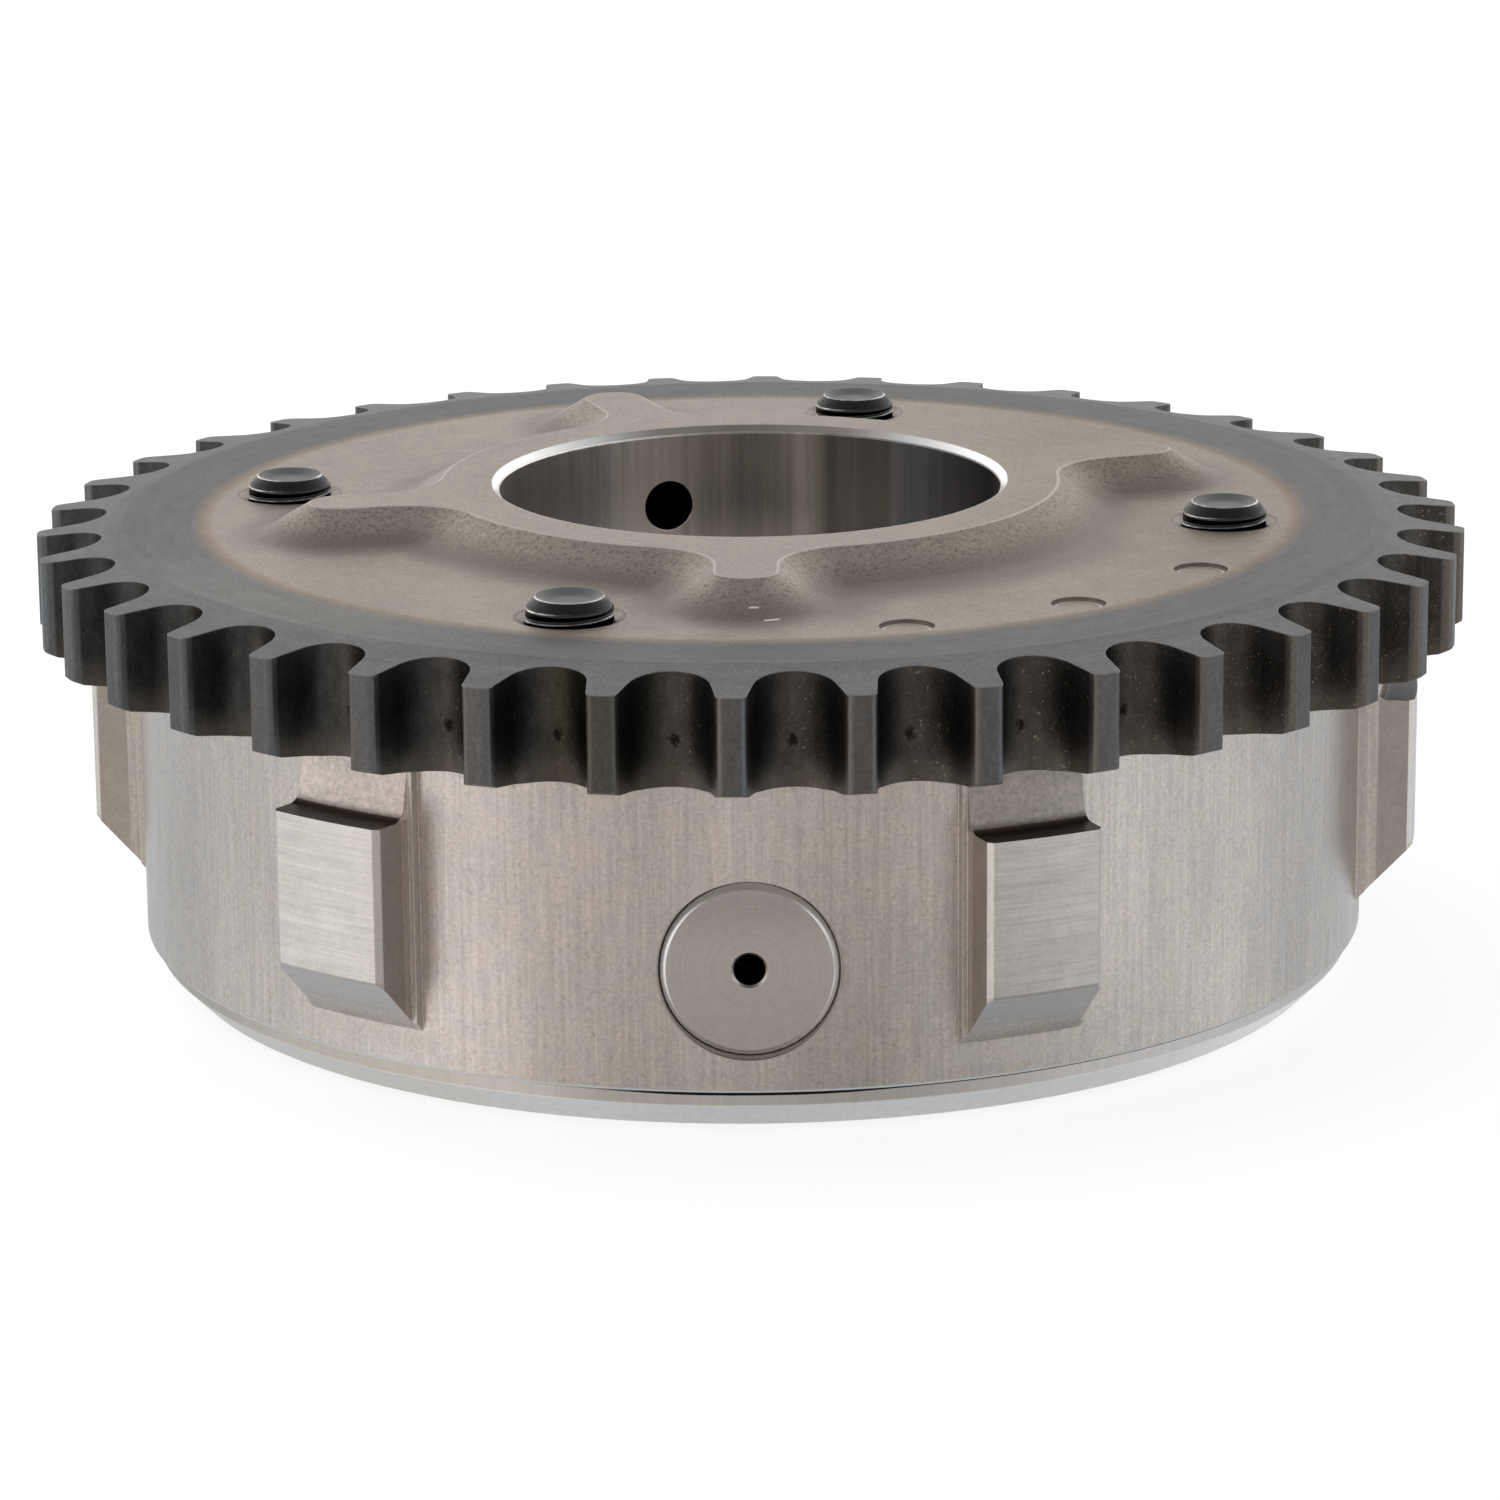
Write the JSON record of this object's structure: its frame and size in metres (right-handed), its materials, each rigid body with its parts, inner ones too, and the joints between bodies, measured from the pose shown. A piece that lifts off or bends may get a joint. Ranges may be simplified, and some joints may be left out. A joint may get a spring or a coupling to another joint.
{
  "type": "camshaft sprocket",
  "caption": "Toothed chain sprocket with a vane-type camshaft timing mechanism in a round housing with trigger lugs below it.",
  "frame": {"origin": "on the axis of rotation, in the plane of the cover's underside that the unit stands on", "axes": "+Z along the axis towards the engine, with the toothed plate on top; the lock pin's plug faces -Y"},
  "size_m": [0.1196, 0.1198, 0.0413],
  "materials": {
    "sintered_steel": "matt as sintered, with dark teeth",
    "machined_sinter": "turned satin",
    "cover_steel": "turned satin",
    "black_bolt": "black oxide",
    "hardened_steel": "ground and turned",
    "spring_steel": "drawn",
    "seal_plastic": "moulded, dark brown"
  },
  "bodies": {
    "drive_side": {"sprocket": "sintered_steel", "housing": "machined_sinter", "cover_plate": "cover_steel", "lock_pin_plug": "hardened_steel", "lock_pin_spring": "spring_steel", "locating_dowel": "hardened_steel", "clamp_bolt_1": "black_bolt", "clamp_bolt_2": "black_bolt", "clamp_bolt_3": "black_bolt", "clamp_bolt_4": "black_bolt", "shoe_seal_spring_1": "spring_steel", "shoe_seal_spring_2": "spring_steel", "shoe_seal_spring_3": "spring_steel", "shoe_seal_spring_4": "spring_steel"},
    "driven_rotor": {"rotor": "machined_sinter", "rotor_vane_1": "machined_sinter", "rotor_vane_2": "machined_sinter", "rotor_vane_3": "machined_sinter", "rotor_vane_4": "machined_sinter", "vane_seal_spring_1": "spring_steel", "vane_seal_spring_2": "spring_steel", "vane_seal_spring_3": "spring_steel", "vane_seal_spring_4": "spring_steel"},
    "locking_pin": {"lock_pin": "hardened_steel"},
    "vane_tip_seal_1": {"vane_seal_1": "seal_plastic"},
    "vane_tip_seal_2": {"vane_seal_2": "seal_plastic"},
    "vane_tip_seal_3": {"vane_seal_3": "seal_plastic"},
    "vane_tip_seal_4": {"vane_seal_4": "seal_plastic"},
    "shoe_tip_seal_1": {"shoe_seal_1": "seal_plastic"},
    "shoe_tip_seal_2": {"shoe_seal_2": "seal_plastic"},
    "shoe_tip_seal_3": {"shoe_seal_3": "seal_plastic"},
    "shoe_tip_seal_4": {"shoe_seal_4": "seal_plastic"}
  },
  "joints": [
    {"name": "rotor_turn", "type": "hinge", "parent": "drive_side", "child": "driven_rotor", "pos_m": [0, 0, 0.0166], "axis": [0, 0, 1], "range_deg": [0, 30]},
    {"name": "lock_pin_slide", "type": "slide", "parent": "drive_side", "child": "locking_pin", "axis": [-0.007, -1, 0], "range_m": [-0.0032, 0], "deforming": ["lock_pin_spring"]},
    {"name": "vane_seal_slide_1", "type": "slide", "parent": "driven_rotor", "child": "vane_tip_seal_1", "axis": [0.4818, -0.8763, 0], "range_m": [-0.00025, 0], "stiffness_N_per_m": 400, "deforming": ["vane_seal_spring_1"]},
    {"name": "vane_seal_slide_2", "type": "slide", "parent": "driven_rotor", "child": "vane_tip_seal_2", "axis": [0.8788, 0.4772, 0], "range_m": [-0.00025, 0], "stiffness_N_per_m": 400, "deforming": ["vane_seal_spring_2"]},
    {"name": "vane_seal_slide_3", "type": "slide", "parent": "driven_rotor", "child": "vane_tip_seal_3", "axis": [-0.5225, 0.8526, 0], "range_m": [-0.00025, 0], "stiffness_N_per_m": 400, "deforming": ["vane_seal_spring_3"]},
    {"name": "vane_seal_slide_4", "type": "slide", "parent": "driven_rotor", "child": "vane_tip_seal_4", "axis": [-0.9367, -0.3502, 0], "range_m": [-0.00025, 0], "stiffness_N_per_m": 400, "deforming": ["vane_seal_spring_4"]},
    {"name": "shoe_seal_slide_1", "type": "slide", "parent": "drive_side", "child": "shoe_tip_seal_1", "axis": [-0.3551, -0.9348, 0], "range_m": [0, 0.00025], "stiffness_N_per_m": 400, "deforming": ["shoe_seal_spring_1"]},
    {"name": "shoe_seal_slide_2", "type": "slide", "parent": "drive_side", "child": "shoe_tip_seal_2", "axis": [0.989, -0.1478, 0], "range_m": [0, 0.00025], "stiffness_N_per_m": 400, "deforming": ["shoe_seal_spring_2"]},
    {"name": "shoe_seal_slide_3", "type": "slide", "parent": "drive_side", "child": "shoe_tip_seal_3", "axis": [0.2385, 0.9711, 0], "range_m": [0, 0.00025], "stiffness_N_per_m": 400, "deforming": ["shoe_seal_spring_3"]},
    {"name": "shoe_seal_slide_4", "type": "slide", "parent": "drive_side", "child": "shoe_tip_seal_4", "axis": [-0.9833, 0.1822, 0], "range_m": [0, 0.00025], "stiffness_N_per_m": 400, "deforming": ["shoe_seal_spring_4"]}
  ]
}
